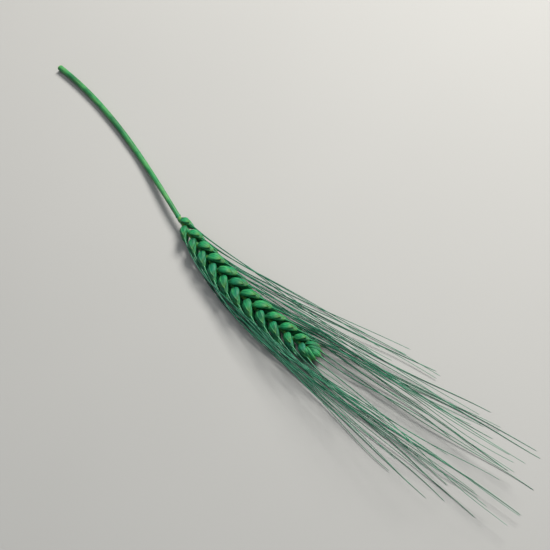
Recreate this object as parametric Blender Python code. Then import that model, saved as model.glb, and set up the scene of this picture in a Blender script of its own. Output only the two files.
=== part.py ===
"""A dried, dyed ear of bearded wheat on its cut stem, lying on a flat surface.

Run it with: blender --background --python part.py

Metres, +Z up. The ear points along +X with its beard in front and its cut stem behind, and the
origin is under the middle of the whole, on the surface. Spikelets stand alternately on the left
(+Y) and the right (-Y) of the rachis, so the plaited side of the ear faces up.
"""

import math
import random

import bmesh
import bpy
from mathutils import Matrix, Vector

MM = 0.001

# The stem, a hollow straw cut off square.
STEM_LENGTH = 102 * MM
STEM_RADIUS = 1.25 * MM
STEM_NECK_RADIUS = 0.95 * MM
STEM_SIDES = 10
STEM_STEP = 6 * MM
STEM_BORE_RADIUS = 0.6 * MM
STEM_BORE_DEPTH = 9 * MM
STEM_LIES_TO = 58 * MM
STEM_GAP = 0.3 * MM
STEM_EDGE_ANGLE = math.radians(50)

# The line of the stem and ear: seen from above a slow S, and from the side a low rise.
EAR_BEND = math.radians(22)
STEM_BEND = math.radians(17)
FOOT_HEIGHT = 3.68 * MM
EAR_SLOPE = math.tan(math.radians(-0.3))
LINE_STEP = 1 * MM

# The rachis, which carries one spikelet at each of its nodes.
RACHIS_LENGTH = 86 * MM
RACHIS_RADII = (1.0 * MM, 0.6 * MM)
RACHIS_SIDES = 6
RACHIS_STEPS = 10
SPIKELETS = 22
FIRST_NODE = 3.2 * MM
NODE_SPACING = 3.72 * MM
NODE_STANDOFF = 0.8 * MM
SPIKELET_LEAN = math.radians(22)
SMALLER_AT_FOOT = 0.34
SMALLER_AT_TIP = 0.27
MIDDLE_FLORET_FROM = 0.8
END_SPIKELET_BACK = 3 * MM
END_SPIKELET_SIZE = 0.85

# The two kinds of husk, and the shape of one as shares of its own length and half widths.
GLUME = "glume"
FLORET = "floret"
HUSK_SIDES = 5
HUSK_STATIONS = {GLUME: (0.0, 0.3, 0.7), FLORET: (0.0, 0.22, 0.52, 0.8)}
HUSK_FOOT_SHARE = 0.42
BELLY_LOW = 0.8
BELLY_FULL = 0.75
HUSK_BOW = 0.075

# The husks of one full-sized spikelet. Each row: kind, start along the spikelet, tilt across it in
# degrees, shift across it, shift outwards, length, width, thickness, and the length of its awn, in mm.
SPIKELET_HUSKS = (
    (GLUME, -0.4, 16, 0.85, -0.2, 7.4, 4.6, 2.5, 0),
    (GLUME, -0.4, -16, -0.85, -0.2, 7.4, 4.6, 2.5, 0),
    (FLORET, 0.9, 11, 0.6, 0.2, 7.8, 4.1, 2.6, 108),
    (FLORET, 1.3, -11, -0.6, 0.2, 7.8, 4.1, 2.6, 108),
    (FLORET, 2.8, 0, 0.0, 0.4, 7.0, 3.2, 2.6, 92),
)
KEEL_TURN = math.radians(24)
GLUME_BEAK = 1.0 * MM
BEAK_CURL = 0.2

# Awns are stiff three-sided bristles, sunk well into the tips of their florets.
AWN_SIDES = 3
AWN_STATIONS = (0.0, 0.14, 0.42, 1.0)
AWN_SUNK = 2.2 * MM
AWN_RADII = (0.46 * MM, 0.3 * MM)
AWN_FLARE = (math.radians(5.5), math.radians(1))
AWN_RISE = math.radians(4)
AWN_STRAIGHTENS = 0.28
AWN_LOOKS_AHEAD = 0.85
AWN_SHORTER_AT_ENDS = 0.14
AWN_FLOOR = 0.22 * MM
AWN_LIFT_BLEND = 0.9 * MM

# Points of the fused ear closer than this become one.
WELD = 0.002 * MM

# Random spread of the real thing, drawn afresh but seeded for each husk.
SEED = 22
TURN_SPREAD = math.radians(2.2)
AWN_SPREAD = math.radians(4.4)
AWN_LENGTH_SPREAD = 0.08
SIZE_SPREAD = 0.05

DYED_HUSK = (0.055, 0.30, 0.125, 1.0)
DYED_STRAW = (0.09, 0.33, 0.13, 1.0)


def spread(index, kind, amount):
    """A seeded draw between -amount and amount for one property of one husk."""
    return amount * (2 * random.Random(SEED + 977 * index + kind).random() - 1)


def clear_scene():
    for old in list(bpy.data.objects):
        bpy.data.objects.remove(old, do_unlink=True)


def dyed(name, colour, roughness):
    material = bpy.data.materials.new(name)
    material.use_nodes = True
    shader = material.node_tree.nodes["Principled BSDF"]
    shader.inputs["Base Color"].default_value = colour
    shader.inputs["Roughness"].default_value = roughness
    shader.inputs["Metallic"].default_value = 0.0
    material.diffuse_color = colour
    return material


def heading(s):
    """Direction of the line in plan. s runs along it from the ear's foot, negative on the stem."""
    if s >= 0:
        return EAR_BEND * (s / RACHIS_LENGTH - 0.5)
    return -EAR_BEND / 2 + STEM_BEND * (s / STEM_LENGTH) ** 2


def height(s):
    """The stem lies on the surface, then rises to the foot of the ear, which slopes gently down."""
    lying = STEM_RADIUS * math.cos(math.pi / STEM_SIDES)
    if s >= 0:
        return FOOT_HEIGHT + EAR_SLOPE * s
    rise = STEM_LENGTH - STEM_LIES_TO
    k = max(0.0, 1 + s / rise)
    eased = k * k * (3 - 2 * k)
    return lying + (FOOT_HEIGHT - lying) * eased + EAR_SLOPE * rise * (k**3 - k**2)


def plan_line(end):
    """Points of the line in plan, every LINE_STEP from the ear's foot to s = end."""
    step = math.copysign(LINE_STEP, end)
    points = [Vector((0, 0))]
    for i in range(round(end / step)):
        turn = heading((i + 0.5) * step)
        points.append(points[-1] + step * Vector((math.cos(turn), math.sin(turn))))
    return points


AHEAD = plan_line(RACHIS_LENGTH + 4 * LINE_STEP)
BEHIND = plan_line(-STEM_LENGTH - 4 * LINE_STEP)


def on_line(s):
    """The point of the line at s."""
    points = AHEAD if s >= 0 else BEHIND
    place = min(abs(s) / LINE_STEP, len(points) - 1.001)
    i = int(place)
    flat = points[i].lerp(points[i + 1], place - i)
    return Vector((flat.x, flat.y, height(s)))


def line_axes(s):
    """Forward, left and up directions of the line at s."""
    forward = (on_line(s + LINE_STEP) - on_line(s - LINE_STEP)).normalized()
    left = Vector((0, 0, 1)).cross(forward).normalized()
    return forward, left, forward.cross(left)


def ring(centre, across, out, half_width, half_depth, sides, first_angle):
    """Points of an oval section, the first of them at first_angle from across towards out."""
    points = []
    for k in range(sides):
        a = first_angle + 2 * math.pi * k / sides
        points.append(centre + across * half_width * math.cos(a) + out * half_depth * math.sin(a))
    return points


def loft(name, rings, tip=None):
    """A closed solid through rings of points, with a flat foot and either a flat end or a tip."""
    shape = bmesh.new()
    rows = [[shape.verts.new(p) for p in points] for points in rings]
    sides = len(rows[0])
    for low, high in zip(rows, rows[1:]):
        for k in range(sides):
            n = (k + 1) % sides
            shape.faces.new((low[k], low[n], high[n], high[k]))
    shape.faces.new(rows[0])
    if tip is None:
        shape.faces.new(rows[-1])
    else:
        apex = shape.verts.new(tip)
        for k in range(sides):
            shape.faces.new((rows[-1][k], rows[-1][(k + 1) % sides], apex))
    bmesh.ops.recalc_face_normals(shape, faces=shape.faces)
    bmesh.ops.triangulate(shape, faces=shape.faces)
    mesh = bpy.data.meshes.new(name)
    shape.to_mesh(mesh)
    shape.free()
    return bpy.data.objects.new(name, mesh)


def husk_swell(u):
    """Half width of a husk at share u of its length: blunt at the foot, pointed at the tip."""
    belly = math.sin(math.pi * u**BELLY_LOW) ** BELLY_FULL
    return HUSK_FOOT_SHARE * (1 - u) + (1 - HUSK_FOOT_SHARE * (1 - u)) * belly


def husk_solid(name, husk):
    """A keeled, boat-shaped husk that bows outwards and ends in a point."""
    rings = []
    for u in HUSK_STATIONS[husk["kind"]]:
        swell = husk_swell(u)
        bow = HUSK_BOW * husk["length"] * math.sin(math.pi * u)
        centre = husk["foot"] + husk["along"] * u * husk["length"] + husk["out"] * bow
        half_width = 0.5 * husk["width"] * swell
        half_depth = 0.5 * husk["thickness"] * swell
        rings.append(
            ring(centre, husk["across"], husk["out"], half_width, half_depth, HUSK_SIDES, math.pi / 2)
        )
    return loft(name, rings, husk["tip"])


def spikelet_size(share):
    """Size of a spikelet at this share of the way up the ear: small at both ends."""
    return 1 - SMALLER_AT_FOOT * (1 - share) ** 5 - SMALLER_AT_TIP * share**4


def spikelet_husks(index, s, outward, lean, size):
    """Places every husk of the spikelet that stands at s and faces outward from the rachis."""
    forward = line_axes(s)[0]
    along = forward * math.cos(lean) + outward * math.sin(lean)
    side = outward * math.cos(lean) - forward * math.sin(lean)
    fan = along.cross(side).normalized()
    if fan.z < 0:
        fan = -fan
    base = on_line(s) + outward * NODE_STANDOFF * size
    husks = []
    for part, row in enumerate(SPIKELET_HUSKS):
        kind, start, tilt, shift, push, length, width, thickness, awn = row
        if kind == FLORET and tilt == 0 and size < MIDDLE_FLORET_FROM:
            continue
        number = len(SPIKELET_HUSKS) * index + part
        grown = size * (1 + spread(number, 1, SIZE_SPREAD))
        turn = math.radians(tilt) + spread(number, 2, TURN_SPREAD)
        swing = spread(number, 3, TURN_SPREAD)
        direction = along * math.cos(turn) + fan * math.sin(turn)
        direction = (direction + side * math.tan(swing)).normalized()
        back = side
        tilted = fan * (tilt > 0) - fan * (tilt < 0)
        if tilt:
            back = tilted * math.cos(KEEL_TURN) + side * math.sin(KEEL_TURN)
        back = (back - direction * back.dot(direction)).normalized()
        foot = base + (along * start + fan * shift + side * push) * MM * size
        tip = foot + direction * length * MM * grown
        if kind == GLUME:
            tip = tip + (direction + back * BEAK_CURL) * GLUME_BEAK * size
        husks.append(
            {
                "number": number,
                "s": s,
                "outward": outward,
                "tilted": tilted,
                "kind": kind,
                "foot": foot,
                "tip": tip,
                "along": direction,
                "out": back,
                "across": direction.cross(back),
                "length": length * MM * grown,
                "width": width * MM * grown,
                "thickness": thickness * MM * grown,
                "awn": awn * MM,
            }
        )
    return husks


def all_husks():
    """Every husk of the ear, from the foot up, and the spikelet across the tip."""
    husks = []
    for i in range(SPIKELETS):
        s = FIRST_NODE + NODE_SPACING * i
        share = i / (SPIKELETS - 1)
        left = line_axes(s)[1]
        outward = left if i % 2 == 0 else -left
        husks += spikelet_husks(i, s, outward, SPIKELET_LEAN, spikelet_size(share))
    up = line_axes(RACHIS_LENGTH)[2]
    s = RACHIS_LENGTH - END_SPIKELET_BACK
    return husks + spikelet_husks(SPIKELETS, s, up, 0.0, END_SPIKELET_SIZE)


def above_surface(point):
    """Eases a point that would sink into the surface up onto it, as a springy awn is."""
    free = (point.z - AWN_FLOOR) / AWN_LIFT_BLEND
    eased = AWN_LIFT_BLEND * (math.log1p(math.exp(-abs(free))) + max(free, 0.0))
    return Vector((point.x, point.y, AWN_FLOOR + eased))


def awn_course(husk):
    """Start, length, first direction and settled direction of an awn, which soon runs with the ear."""
    number = husk["number"]
    s = husk["s"]
    forward, left, up = line_axes(s + AWN_LOOKS_AHEAD * (RACHIS_LENGTH - s))
    share = min(1.0, number / (len(SPIKELET_HUSKS) * SPIKELETS))
    leaving = (husk["along"] - husk["out"] * math.pi * HUSK_BOW).normalized()
    flare = AWN_FLARE[0] + (AWN_FLARE[1] - AWN_FLARE[0]) * share
    settled = forward + husk["outward"] * flare + husk["tilted"] * AWN_RISE
    settled += left * spread(number, 4, AWN_SPREAD) + up * spread(number, 5, AWN_SPREAD)
    length = husk["awn"] * (1 - AWN_SHORTER_AT_ENDS * (1 - math.sin(math.pi * share)))
    length *= 1 + spread(number, 6, AWN_LENGTH_SPREAD)
    return husk["tip"] - leaving * AWN_SUNK, length + AWN_SUNK, leaving, settled.normalized()


def awn_point(course, u):
    """The point at share u of an awn, whose direction swings from its first to its settled one."""
    start, length, leaving, settled = course
    bent = min(u, AWN_STRAIGHTENS)
    swung = bent - bent**2 / (2 * AWN_STRAIGHTENS)
    point = start + length * (leaving * swung + settled * (u - swung))
    return above_surface(point) if u else point


def awn_solid(name, husk):
    """A tapered three-sided bristle from a floret's tip, whose own tip may touch the surface."""
    course = awn_course(husk)
    points = [awn_point(course, u) for u in AWN_STATIONS]
    rings = []
    for i, point in enumerate(points[:-1]):
        along = (points[i + 1] - points[max(i - 1, 0)]).normalized()
        across = Vector((0, 0, 1)).cross(along).normalized()
        radius = AWN_RADII[0] + (AWN_RADII[1] - AWN_RADII[0]) * AWN_STATIONS[i]
        rings.append(ring(point, across, along.cross(across), radius, radius, AWN_SIDES, -math.pi / 6))
    return loft(name, rings, points[-1] - Vector((0, 0, AWN_FLOOR)))


def rachis_solid():
    """The stalk inside the ear, which the spikelets hide and hang from."""
    rings = []
    for i in range(RACHIS_STEPS + 1):
        s = RACHIS_LENGTH * i / RACHIS_STEPS
        left, up = line_axes(s)[1:]
        radius = RACHIS_RADII[0] + (RACHIS_RADII[1] - RACHIS_RADII[0]) * i / RACHIS_STEPS
        rings.append(ring(on_line(s), left, up, radius, radius, RACHIS_SIDES, 0.0))
    return loft("ear", rings)


def make_ear(material):
    """Rachis, husks and awns fused into one body by one union, then trimmed flat where it rests."""
    ear = rachis_solid()
    bpy.context.scene.collection.objects.link(ear)
    repeats = bpy.data.collections.new("repeats")
    bpy.context.scene.collection.children.link(repeats)
    for husk in all_husks():
        name = f"{husk['kind']}_{husk['number']:03d}"
        repeats.objects.link(husk_solid(name, husk))
        if husk["awn"]:
            repeats.objects.link(awn_solid("awn_" + name, husk))
    union = ear.modifiers.new("grown together", "BOOLEAN")
    union.operation = "UNION"
    union.operand_type = "COLLECTION"
    union.collection = repeats
    union.solver = "MANIFOLD"
    bpy.context.view_layer.objects.active = ear
    bpy.ops.object.modifier_apply(modifier=union.name)
    for used in list(repeats.objects):
        bpy.data.objects.remove(used, do_unlink=True)
    bpy.data.collections.remove(repeats)
    ear.data.materials.append(material)
    return ear


def tidy_skin(ear):
    """Welds the union's hair-thin edges and closes the gaps that leaves, and fills its sealed hollows."""
    shape = bmesh.new()
    shape.from_mesh(ear.data)
    bmesh.ops.remove_doubles(shape, verts=shape.verts, dist=WELD)
    bmesh.ops.dissolve_degenerate(shape, edges=shape.edges, dist=WELD)
    wires = [edge for edge in shape.edges if edge.is_wire]
    bmesh.ops.delete(shape, geom=wires, context="EDGES")
    rims = [edge for edge in shape.edges if edge.is_boundary]
    bmesh.ops.holes_fill(shape, edges=rims)
    waiting = set(shape.verts)
    skins = []
    while waiting:
        skin = [waiting.pop()]
        for vert in skin:
            near = {edge.other_vert(vert) for edge in vert.link_edges} & waiting
            waiting -= near
            skin.extend(near)
        skins.append(skin)
    outer = max(skins, key=len)
    inner = [vert for skin in skins if skin is not outer for vert in skin]
    bmesh.ops.delete(shape, geom=inner, context="VERTS")
    shape.to_mesh(ear.data)
    shape.free()


def rest_flat(ear):
    """Trims what reaches below the surface, so that the lowest husks rest on small flat spots."""
    bpy.ops.mesh.primitive_cube_add(size=1)
    surface = bpy.context.object
    surface.name = "surface_cutter"
    surface.data.transform(Matrix.Diagonal((1, 1, 0.1, 1)))
    surface.data.transform(Matrix.Translation((0, 0, -0.05)))
    surface.hide_render = True
    surface.display_type = "WIRE"
    trim = ear.modifiers.new("flat where it rests", "BOOLEAN")
    trim.operation = "DIFFERENCE"
    trim.object = surface
    trim.solver = "MANIFOLD"
    bpy.context.view_layer.objects.active = ear
    bpy.ops.object.modifier_apply(modifier=trim.name)
    bpy.data.objects.remove(surface, do_unlink=True)


def make_stem(material):
    """The straw: it lies on one of its facets, narrows to the neck, and is hollow at the cut."""
    span = STEM_LENGTH - STEM_GAP
    steps = round(span / STEM_STEP)
    first_angle = -math.pi / 2 + math.pi / STEM_SIDES
    rings = []
    for i in range(steps + 1):
        s = -STEM_LENGTH + span * i / steps
        left, up = line_axes(s)[1:]
        narrowing = max(0.0, 1 + s / (STEM_LENGTH - STEM_LIES_TO))
        radius = STEM_RADIUS + (STEM_NECK_RADIUS - STEM_RADIUS) * narrowing
        rings.append(ring(on_line(s), left, up, radius, radius, STEM_SIDES, first_angle))
    forward, left, up = line_axes(-STEM_LENGTH)
    mouth = on_line(-STEM_LENGTH)
    depth = forward * STEM_BORE_DEPTH
    wall = ring(mouth, left, up, STEM_BORE_RADIUS, STEM_BORE_RADIUS, STEM_SIDES, first_angle)
    floor = [p + depth for p in wall]
    stem = loft("stem", [floor, wall] + rings)
    bpy.context.scene.collection.objects.link(stem)
    stem.data.materials.append(material)
    stem.data.shade_smooth()
    stem.data.set_sharp_from_angle(angle=STEM_EDGE_ANGLE)
    return stem


def centre_on_origin(objects):
    """Moves the meshes together so that the origin is under the middle of the whole."""
    corners = [v.co for obj in objects for v in obj.data.vertices]
    low = Vector([min(c[k] for c in corners) for k in range(2)])
    high = Vector([max(c[k] for c in corners) for k in range(2)])
    middle = (low + high) / 2
    for obj in objects:
        obj.data.transform(Matrix.Translation((-middle.x, -middle.y, 0)))


def main():
    clear_scene()
    ear = make_ear(dyed("dyed husk", DYED_HUSK, 0.55))
    rest_flat(ear)
    tidy_skin(ear)
    stem = make_stem(dyed("dyed straw", DYED_STRAW, 0.5))
    centre_on_origin([ear, stem])


main()
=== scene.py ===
"""A dried, dyed ear of bearded wheat on a pale floor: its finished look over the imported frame."""
import math
import random

import bmesh
import bpy
from bpy.props import FloatProperty, FloatVectorProperty, IntProperty, PointerProperty
from mathutils import Matrix, Quaternion, Vector


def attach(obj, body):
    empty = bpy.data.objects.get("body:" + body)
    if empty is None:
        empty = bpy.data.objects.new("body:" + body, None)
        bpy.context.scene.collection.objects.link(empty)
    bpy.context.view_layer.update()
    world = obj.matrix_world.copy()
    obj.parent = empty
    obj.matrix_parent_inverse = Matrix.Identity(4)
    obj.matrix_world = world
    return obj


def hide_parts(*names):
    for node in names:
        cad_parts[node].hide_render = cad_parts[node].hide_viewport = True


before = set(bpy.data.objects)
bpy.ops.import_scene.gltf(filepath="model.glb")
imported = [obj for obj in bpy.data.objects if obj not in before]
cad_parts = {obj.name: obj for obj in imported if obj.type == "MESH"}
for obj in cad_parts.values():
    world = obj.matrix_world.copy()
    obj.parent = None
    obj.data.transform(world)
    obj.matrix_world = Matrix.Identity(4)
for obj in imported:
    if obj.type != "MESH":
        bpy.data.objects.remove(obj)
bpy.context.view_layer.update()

bl_info = {
    "name": "Dried Wheat Ear",
    "version": (1, 0, 0),
    "blender": (4, 5, 0),
    "location": "View3D > Sidebar > Wheat Ear",
    "description": "Grows the husks, awns and straw of a dried ear of wheat, and lights them",
    "category": "Add Mesh",
}

MM = 0.001
UP = Vector((0, 0, 1))

# The straw and the line that the ear and straw follow, as in the solids
STEM_LENGTH = 102 * MM
STEM_RADIUS = 1.25 * MM
STEM_NECK_RADIUS = 0.95 * MM
STEM_SIDES = 10
STEM_LIES_TO = 58 * MM
EAR_BEND = math.radians(22)
STEM_BEND = math.radians(17)
FOOT_HEIGHT = 3.68 * MM
EAR_SLOPE = math.tan(math.radians(-0.3))
LINE_STEP = 1 * MM

# The ear's spikelets, as in the solids
RACHIS_LENGTH = 86 * MM
SPIKELETS = 22
FIRST_NODE = 3.2 * MM
NODE_SPACING = 3.72 * MM
NODE_STANDOFF = 0.8 * MM
SPIKELET_LEAN = math.radians(22)
SMALLER_AT_FOOT = 0.34
SMALLER_AT_TIP = 0.27
MIDDLE_FLORET_FROM = 0.8
END_SPIKELET_BACK = 3 * MM
END_SPIKELET_SIZE = 0.85
GLUME = "glume"
FLORET = "floret"
HUSK_FOOT_SHARE = 0.42
BELLY_LOW = 0.8
BELLY_FULL = 0.75
HUSK_BOW = 0.075
# Kind, start along the spikelet, tilt in degrees, shift across, shift outwards, length, width,
# thickness and awn, in millimetres
SPIKELET_HUSKS = (
    (GLUME, -0.4, 16, 0.85, -0.2, 7.4, 4.6, 2.5, 0),
    (GLUME, -0.4, -16, -0.85, -0.2, 7.4, 4.6, 2.5, 0),
    (FLORET, 0.9, 11, 0.6, 0.2, 7.8, 4.1, 2.6, 108),
    (FLORET, 1.3, -11, -0.6, 0.2, 7.8, 4.1, 2.6, 108),
    (FLORET, 2.8, 0, 0.0, 0.4, 7.0, 3.2, 2.6, 92),
)
GLUME_ROW = 0
FLORET_ROW = 2
KEEL_TURN = math.radians(24)
GLUME_BEAK = 1.0 * MM
BEAK_CURL = 0.2

# The awns, as in the solids
AWN_SUNK = 2.2 * MM
AWN_FLARE = (math.radians(5.5), math.radians(1))
AWN_RISE = math.radians(4)
AWN_STRAIGHTENS = 0.28
AWN_LOOKS_AHEAD = 0.85
AWN_SHORTER_AT_ENDS = 0.14
AWN_FLOOR = 0.22 * MM
AWN_LIFT_BLEND = 0.9 * MM

# How much the husks and awns differ, and the number of each draw
SEED = 22
SEEDS_APART = 977
SIZE_SPREAD = 0.05
TURN_SPREAD = math.radians(2.2)
AWN_SPREAD = math.radians(4.4)
AWN_LENGTH_SPREAD = 0.08
TONE_SPREAD = 0.32
AWN_TONE_SPREAD = 0.5
(SIZE_DRAW, TURN_DRAW, SWING_DRAW, AWN_LEFT_DRAW, AWN_UP_DRAW, AWN_LENGTH_DRAW, TONE_DRAW,
 AWN_ROLL_DRAW, AWN_TONE_DRAW, AWN_PHASE_DRAW, AWN_CYCLES_DRAW) = range(1, 12)

# The finer husks, which only the finished look has; shares are of a husk's length
HUSK_COLUMNS = 40
COLUMN_DEGREES = 360 / HUSK_COLUMNS
HALF_COLUMN = math.pi / HUSK_COLUMNS
HUSK_STATIONS = (
    0.0, 0.05, 0.11, 0.18, 0.26, 0.35, 0.44, 0.53, 0.62, 0.7, 0.78, 0.85, 0.9, 0.94, 0.97)
RIM_ANGLE = math.radians(50)
LEMMA_WIDTHS = (1.0, 0.94)
LEMMA_DEPTH = 0.96
LEMMA_POINT = 0.03
LEMMA_WRAPS = math.radians(136)
LEMMA_NERVES = (0, 27, -27, 54, -54, 81, -81, 108, -108)
LEMMA_NERVES_RUN = (0.04, 0.96)
MIDDLE_NERVE_RUNS = (0.3, 0.96)
GLUME_WRAPS = math.radians(104)
GLUME_NERVES = (-18, -45, -72, 36, 63, 90)
GLUME_NERVES_RUN = (0.04, 0.92)
GLUME_WALL = 1.15
GLUME_KEEL = 9
KEEL_RUNS = (0.1, 1.0)
KEEL_FLANK = 0.4
KEEL_EDGE = 0.6
GLUME_LIFT = 0.6 * MM
GLUME_STANDS_OFF = 0.12 * MM
# Share of the beak, half width and half depth in millimetres
BEAK_RINGS = ((0.35, 0.2, 0.2), (0.7, 0.12, 0.13))
BEAK_POINT = 0.3
PALEA_SIDES = 14
PALEA_FROM = 0.05
PALEA_SHARE = 0.82
PALEA_WIDTH = 0.8
PALEA_DEPTH = 0.78
PALEA_SINKS = 0.24
PALEA_ANGLE = math.radians(60)
CREASE_SIZE = 3.2 * MM
MIDDLE_TONE = 0.5
# Painted light: the husks of the row that faces the key lamp are made lighter, and those of the
# other row darker and bluer, standing in for light and shade
PAINTED_LIGHT_BY_ROW = 0.16
TONE_OF_KIND = 0.08

# The finer awns
AWN_LENGTH = 100 * MM
AWN_SIDES = 6
AWN_STEPS = 40
AWN_STEPS_WIDEN = 1.35
AWN_POINT = 0.01
AWN_FOOT_FADES = 1.6 * MM
AWN_POINTS = 44
AWN_WAVER = 1.1 * MM
WAVER_UP = 0.5
TOOTH_SPACING = 2.1 * MM
TOOTH_ROWS = 3
TOOTH_SLIMNESS = 0.13
TOOTH_TILT = math.radians(13)
TOOTH_STANDS_AT = 0.97
TEETH_FROM = 3 * MM
TOOTHLESS = 6 * MM

# The finer straw and its cut end
STRAW_SIDES = 32
STRAW_STEPS = 56
STRAW_STEPS_WIDEN = 1.4
STRAW_RUNS_IN = 0.6 * MM
STRAW_GUIDE_STEP = 2 * MM
BORE_DEPTH = 9 * MM
BORE_FLARE = 1.05
BORE_FLARES_AT = 0.2 * MM
BORE_WALL = 1.1
CUT_RADIUS = 0.97
CUT_BEVEL = 0.12 * MM
CUT_FACE = 0.05 * MM
CUT_STEP = 0.22 * MM
CUT_STEP_FROM = 0.2
PITH_DEPTH = 0.3 * MM
PITH_RADIUS = 1.02

# The finer rachis; a collar ring has its place, half width and half depth, and a node's ring
# its place back from the node in node spacings, its shift, half width and half depth
RACHIS_SIDES = 12
RACHIS_ANGLE = math.radians(40)
RACHIS_GUIDE_STEP = 1.5 * MM
RACHIS_NARROWS = 0.35
COLLAR_RINGS = (
    (0.0, 0.98, 0.96), (0.2, 1.08, 1.05), (0.5, 1.13, 1.1), (0.8, 1.06, 1.02), (1.15, 0.86, 0.88))
NODE_RINGS = (
    (0.5, -0.05, 0.84, 0.9), (0.16, 0.1, 1.18, 1.12),
    (0.02, 0.16, 1.26, 1.2), (-0.06, -0.12, 0.8, 0.95))
HAIR_SEEDS_APART = 1000
HAIR_RADIUS = 0.05 * MM
HAIR_LENGTHS = (0.9, 1.7)
HAIR_LEANS = (0.9, 1.6)
HAIR_TURNS = 0.3
HAIR_BACK = 0.2 * MM
HAIR_OUT = 0.8 * MM
TUFT_WIDTH = 0.6
TUFT_OUTWARDS = 0.3

# How a piece is set in the frame: what lies lower than this is pressed to this share of its
# depth, and the points of a solid's end lie within the last one
LEAST_HEIGHT = 0.03 * MM
PRESSED_TO = 0.03
SAME_FACE = 0.02 * MM

# The stage; each lamp has its place, size, power and colour
FLOOR_SIZE = 6
FLOOR_DROP = 0.03 * MM
FLOOR_DARKER = 0.94
TARGET = Vector((8, 0, 5)) * MM
LAMPS = {
    "key": ((-0.2, 0.6, 0.6), 0.3, 12.0, (1.0, 0.97, 0.92)),
    "fill": ((0.5, -0.6, 0.5), 0.7, 1.2, (0.82, 0.94, 1.0)),
    "top": ((0.1, 0.1, 0.95), 0.7, 2.4, (1.0, 1.0, 1.0)),
}
STUDIO_COLOUR = (0.8, 0.84, 0.88, 1)
STUDIO_STRENGTH = 0.12
CAMERA_AZIMUTH = math.radians(70)
CAMERA_ELEVATION = math.radians(58)
CAMERA_ROLL = math.radians(-22)
CAMERA_DISTANCE = 0.62
CAMERA_LENS = 105
CAMERA_NEAR = 0.01


def size_property(name, description, default, low, high):
    """A size, its values given in millimetres and kept in metres."""
    return FloatProperty(
        name=name, description=description, default=default * MM, min=low * MM, max=high * MM,
        unit="LENGTH", precision=5)


def colour_property(name, description, default):
    """A colour, its values from 0 to 1."""
    return FloatVectorProperty(
        name=name, description=description, default=default, subtype="COLOR", size=3, min=0, max=1)


class EarSizes(bpy.types.PropertyGroup):
    """The fine sizes of the ear's husks, awns and straw."""

    husk_wall: size_property(
        "Husk wall", "Thickness of a husk's shell",
        default=0.14, low=0.05, high=0.4)
    nerve_height: size_property(
        "Nerve height", "How far the nerves stand out of a husk",
        default=0.06, low=0, high=0.2)
    keel_height: size_property(
        "Keel height", "How far the keel stands out of a glume",
        default=0.22, low=0, high=0.5)
    crease_depth: size_property(
        "Crease depth", "How far drying has pulled a husk out of true",
        default=0.3, low=0, high=1)
    awn_foot: size_property(
        "Awn foot", "An awn's radius where it leaves its husk",
        default=0.23, low=0.1, high=0.5)
    awn_flare: size_property(
        "Awn flare", "How much thicker an awn is inside its husk's tip",
        default=0.42, low=0, high=1)
    awn_tip: size_property(
        "Awn tip", "An awn's radius near its far end",
        default=0.09, low=0.02, high=0.3)
    tooth: size_property(
        "Awn teeth", "Length of the small teeth along an awn",
        default=0.42, low=0.2, high=2)
    rib_depth: size_property(
        "Straw ribs", "Depth of the grooves along the straw",
        default=0.05, low=0, high=0.2)
    bore_radius: size_property(
        "Straw bore", "Radius of the hollow in the cut straw",
        default=0.78, low=0.3, high=1.1)
    tuft_hairs: IntProperty(
        name="Hairs in a tuft", description="Hairs in the tuft under each spikelet",
        default=9, min=1, max=30)


class EarColours(bpy.types.PropertyGroup):
    """The colours that the dye has left; two of them also carry painted shade."""

    husk: colour_property(
        "Husk", "The dye over the body of a husk", (0.004, 0.195, 0.068))
    # Partly the bluer dye that some husks took up, partly painted shade: the row turned from the key
    # lamp is tinted towards this colour
    husk_cool_and_shade: colour_property(
        "Husk, cool", "The dye on the husks that took it up bluer", (0.004, 0.15, 0.094))
    # Partly dark dye in clouds, on husks and straw; partly painted shade low on the husks and
    # paleas, where neighbours overlap them
    husk_deep_and_shade: colour_property(
        "Husk, deep", "Where the dye has gathered, low on a husk and in its folds",
        (0.001, 0.045, 0.026))
    husk_bare: colour_property(
        "Husk, thinly dyed", "Where the husk shows through the dye, on margins and nerves",
        (0.036, 0.35, 0.12))
    husk_ends: colour_property(
        "Husk, ends", "The olive tint at a husk's foot and tip", (0.115, 0.28, 0.035))
    awn: colour_property(
        "Awn", "The dye over an awn", (0.006, 0.11, 0.06))
    awn_bare: colour_property(
        "Awn, thinly dyed", "An awn's paler stretches", (0.06, 0.29, 0.165))
    straw: colour_property(
        "Straw", "The dye over the straw", (0.012, 0.2, 0.062))
    straw_bare: colour_property(
        "Straw, cut", "The straw's pith and its thinly dyed streaks", (0.2, 0.42, 0.12))
    floor: colour_property(
        "Floor", "The plain floor", (0.42, 0.42, 0.41))


class Wire:
    """A socket that gives a value; arithmetic on it adds the Math nodes that work it out."""

    def __init__(self, recipe, socket):
        self.recipe = recipe
        self.socket = socket

    def maths(self, operation, *values):
        """Adds a Math node on these values."""
        return self.recipe.add("ShaderNodeMath", {"operation": operation}, dict(enumerate(values)))

    def __add__(self, other):
        return self.maths("ADD", self, other)

    def __mul__(self, other):
        return self.maths("MULTIPLY", self, other)

    def __abs__(self):
        return self.maths("ABSOLUTE", self)

    __radd__ = __add__
    __rmul__ = __mul__


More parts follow.
